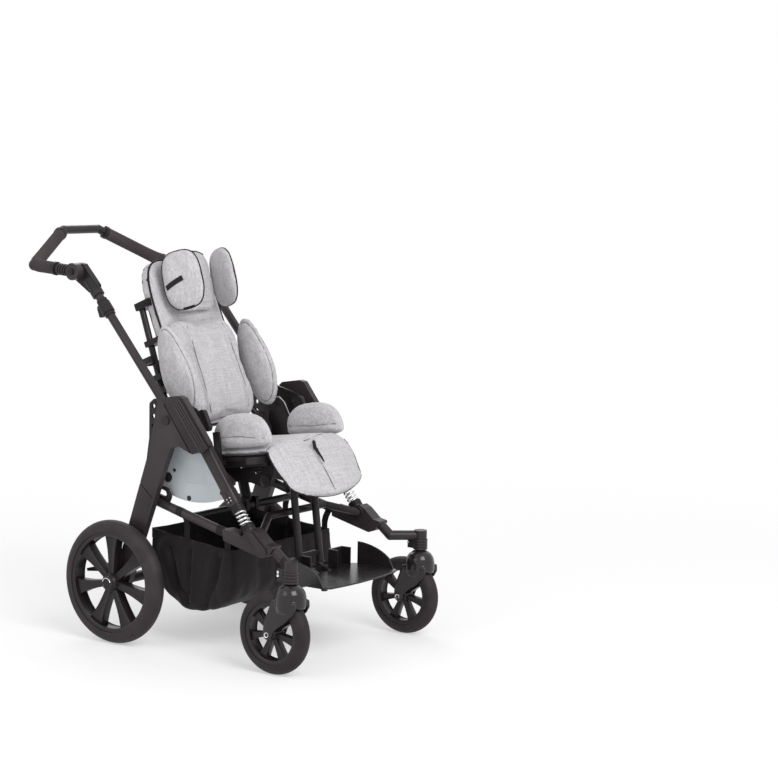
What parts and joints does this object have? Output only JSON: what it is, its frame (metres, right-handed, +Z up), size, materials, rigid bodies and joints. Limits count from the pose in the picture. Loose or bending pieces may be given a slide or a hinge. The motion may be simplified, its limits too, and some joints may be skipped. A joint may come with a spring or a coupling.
{
  "type": "special needs buggy",
  "caption": "Folding special needs buggy: padded tilting seat with headrest and side supports on a sprung frame with swivel casters, footplate, basket and push bar.",
  "frame": {"origin": "on the floor under the middle of the buggy's overall length and width", "axes": "+Z up, the child faces -Y, +X is the child's left"},
  "size_m": [0.598, 0.9571, 0.9906],
  "materials": {
    "frame_paint": "satin anthracite",
    "black_metal": "satin black",
    "black_plastic": "fine texture",
    "fork_gloss": "gloss",
    "rim_plastic": "satin",
    "tyre": "matt",
    "spring_steel": "plated",
    "bright_steel": "plated",
    "side_plate_grey": "satin light grey",
    "grip_foam": "foam",
    "cushion_cloth": "woven linen look",
    "basket_cloth": "woven"
  },
  "bodies": {
    "main_frame": {"down_tube_left": "frame_paint", "down_tube_right": "frame_paint", "hub_bracket_left": "black_metal", "hub_bracket_right": "black_metal", "rear_cross_tube": "black_metal", "suspension_spring_left": "spring_steel", "suspension_spring_right": "spring_steel"},
    "rear_frame": {"rear_leg_left": "frame_paint", "rear_leg_right": "frame_paint", "rear_axle": "black_metal"},
    "brake": {"brake_bar": "black_metal"},
    "rear_wheel_left": {"rear_tyre_left": "tyre", "rear_rim_left": "rim_plastic"},
    "rear_wheel_right": {"rear_tyre_right": "tyre", "rear_rim_right": "rim_plastic"},
    "front_arm": {"lower_tube_left": "frame_paint", "lower_tube_right": "frame_paint", "latch_sleeves": "black_plastic", "front_lug_left": "frame_paint", "front_lug_right": "frame_paint", "front_tube_left": "frame_paint", "front_tube_right": "frame_paint", "cross_tubes": "black_metal", "basket": "basket_cloth"},
    "caster_left": {"caster_fork_left": "fork_gloss"},
    "caster_right": {"caster_fork_right": "fork_gloss"},
    "caster_wheel_left": {"caster_tyre_left": "tyre", "caster_rim_left": "rim_plastic"},
    "caster_wheel_right": {"caster_tyre_right": "tyre", "caster_rim_right": "rim_plastic"},
    "swivel_lock_left": {"swivel_lock_left": "bright_steel"},
    "swivel_lock_right": {"swivel_lock_right": "bright_steel"},
    "push_bar": {"push_tube_left": "frame_paint", "push_tube_right": "frame_paint", "joint_housings": "black_plastic"},
    "fold_trigger_left": {"fold_trigger_left": "black_plastic"},
    "fold_trigger_right": {"fold_trigger_right": "black_plastic"},
    "handle": {"handle_bar": "frame_paint", "foam_grips": "grip_foam"},
    "handle_button_left": {"handle_button_left": "black_plastic"},
    "handle_button_right": {"handle_button_right": "black_plastic"},
    "seat_unit": {"seat_base": "black_metal", "side_plate_left": "side_plate_grey", "side_plate_right": "side_plate_grey", "plate_bolts": "bright_steel", "seat_cushion": "cushion_cloth", "hip_pad_left": "cushion_cloth", "hip_pad_right": "cushion_cloth"},
    "release_catch_left": {"release_catch_left": "black_plastic"},
    "release_catch_right": {"release_catch_right": "black_plastic"},
    "strut_cylinder": {"strut_cylinder": "black_metal"},
    "strut_rod": {"strut_rod": "bright_steel"},
    "back_unit": {"back_frame": "black_metal", "back_cushion": "cushion_cloth", "lateral_pad_left": "cushion_cloth", "lateral_pad_right": "cushion_cloth"},
    "recline_handle": {"recline_handle": "black_plastic"},
    "headrest": {"headrest": "cushion_cloth"},
    "footrest": {"hanger_tubes": "black_metal"},
    "footplate": {"footplate": "black_plastic"}
  },
  "joints": [
    {"name": "frame_fold", "type": "hinge", "parent": "main_frame", "child": "push_bar", "pos_m": [0, -0.03397, 0.552], "axis": [1, 0, 0], "range_deg": [0, 115]},
    {"name": "rear_leg_fold", "type": "hinge", "parent": "main_frame", "child": "rear_frame", "pos_m": [0, -0.03397, 0.552], "axis": [1, 0, 0], "range_deg": [-28, 0], "deforming": ["basket"]},
    {"name": "brake_pedal", "type": "hinge", "parent": "rear_frame", "child": "brake", "pos_m": [0, 0.15102, 0.172], "axis": [1, 0, 0], "range_deg": [0, 20]},
    {"name": "rear_wheel_left_spin", "type": "hinge", "parent": "rear_frame", "child": "rear_wheel_left", "pos_m": [0.267, 0.10502, 0.15], "axis": [1, 0, 0], "continuous": true},
    {"name": "rear_wheel_right_spin", "type": "hinge", "parent": "rear_frame", "child": "rear_wheel_right", "pos_m": [-0.267, 0.10502, 0.15], "axis": [1, 0, 0], "continuous": true},
    {"name": "front_suspension", "type": "hinge", "parent": "main_frame", "child": "front_arm", "pos_m": [0, 0.04503, 0.356], "axis": [1, 0, 0], "range_deg": [-1.5, 0], "stiffness_Nm_per_rad": 900, "springref_deg": 3.44, "deforming": ["suspension_spring_left", "suspension_spring_right"]},
    {"name": "caster_left_swivel", "type": "hinge", "parent": "front_arm", "child": "caster_left", "pos_m": [0.263, -0.42597, 0.217], "axis": [0, 0, 1], "continuous": true},
    {"name": "caster_left_roll", "type": "hinge", "parent": "caster_left", "child": "caster_wheel_left", "pos_m": [0.263, -0.38198, 0.0965], "axis": [1, 0, 0], "continuous": true},
    {"name": "swivel_lock_left_slide", "type": "slide", "parent": "front_arm", "child": "swivel_lock_left", "axis": [0, 0, -1], "range_m": [0, 0.005]},
    {"name": "fold_trigger_left_slide", "type": "slide", "parent": "push_bar", "child": "fold_trigger_left", "axis": [0, 0.6521, 0.7581], "range_m": [0, 0.01], "stiffness_N_per_m": 300, "springref_m": -0.01},
    {"name": "caster_right_swivel", "type": "hinge", "parent": "front_arm", "child": "caster_right", "pos_m": [-0.263, -0.42597, 0.217], "axis": [0, 0, 1], "continuous": true},
    {"name": "caster_right_roll", "type": "hinge", "parent": "caster_right", "child": "caster_wheel_right", "pos_m": [-0.263, -0.38198, 0.0965], "axis": [1, 0, 0], "continuous": true},
    {"name": "swivel_lock_right_slide", "type": "slide", "parent": "front_arm", "child": "swivel_lock_right", "axis": [0, 0, -1], "range_m": [0, 0.005]},
    {"name": "fold_trigger_right_slide", "type": "slide", "parent": "push_bar", "child": "fold_trigger_right", "axis": [0, 0.6521, 0.7581], "range_m": [0, 0.01], "stiffness_N_per_m": 300, "springref_m": -0.01},
    {"name": "handle_angle", "type": "hinge", "parent": "push_bar", "child": "handle", "pos_m": [0, 0.27147, 0.88829], "axis": [1, 0, 0], "range_deg": [-45, 45]},
    {"name": "handle_button_left_press", "type": "slide", "parent": "handle", "child": "handle_button_left", "axis": [-1, 0, 0], "range_m": [0, 0.003], "stiffness_N_per_m": 800, "springref_m": -0.003},
    {"name": "release_catch_left_turn", "type": "hinge", "parent": "main_frame", "child": "release_catch_left", "pos_m": [0.19, -0.08997, 0.562], "axis": [1, 0, 0], "range_deg": [-20, 0], "stiffness_Nm_per_rad": 0.6, "springref_deg": 22.92},
    {"name": "handle_button_right_press", "type": "slide", "parent": "handle", "child": "handle_button_right", "axis": [1, 0, 0], "range_m": [0, 0.003], "stiffness_N_per_m": 800, "springref_m": -0.003},
    {"name": "release_catch_right_turn", "type": "hinge", "parent": "main_frame", "child": "release_catch_right", "pos_m": [-0.19, -0.08997, 0.562], "axis": [1, 0, 0], "range_deg": [-20, 0], "stiffness_Nm_per_rad": 0.6, "springref_deg": 22.92},
    {"name": "seat_tilt", "type": "hinge", "parent": "main_frame", "child": "seat_unit", "pos_m": [0, -0.03397, 0.552], "axis": [1, 0, 0], "range_deg": [-25, 0]},
    {"name": "strut_swing", "type": "hinge", "parent": "front_arm", "child": "strut_cylinder", "pos_m": [0, -0.09098, 0.324], "axis": [1, 0, 0], "range_deg": [0, 25.17]},
    {"name": "strut_extend", "type": "slide", "parent": "strut_cylinder", "child": "strut_rod", "axis": [0, 0.2857, 0.9583], "range_m": [0, 0.0196]},
    {"name": "back_recline", "type": "hinge", "parent": "seat_unit", "child": "back_unit", "pos_m": [0, -0.01698, 0.468], "axis": [1, 0, 0], "range_deg": [-20, 8]},
    {"name": "recline_handle_pull", "type": "hinge", "parent": "back_unit", "child": "recline_handle", "pos_m": [0, 0.10318, 0.67821], "axis": [1, 0, 0], "range_deg": [0, 25], "stiffness_Nm_per_rad": 1, "springref_deg": -20.05},
    {"name": "headrest_height", "type": "slide", "parent": "back_unit", "child": "headrest", "axis": [0, 0.3907, 0.9205], "range_m": [0, 0.06]},
    {"name": "footrest_height", "type": "slide", "parent": "seat_unit", "child": "footrest", "axis": [0, 0.1219, 0.9925], "range_m": [-0.01, 0.03]},
    {"name": "footplate_flip", "type": "hinge", "parent": "footrest", "child": "footplate", "pos_m": [0, -0.28432, 0.19555], "axis": [1, 0, 0], "range_deg": [-65, 0]}
  ],
  "couplings": [
    {"joint": "rear_leg_fold", "follows": "frame_fold", "ratio": -0.24348},
    {"joint": "strut_swing", "follows": "seat_tilt", "ratio": -1.0048},
    {"joint": "strut_extend", "follows": "seat_tilt", "m_per_rad": -0.044684}
  ]
}
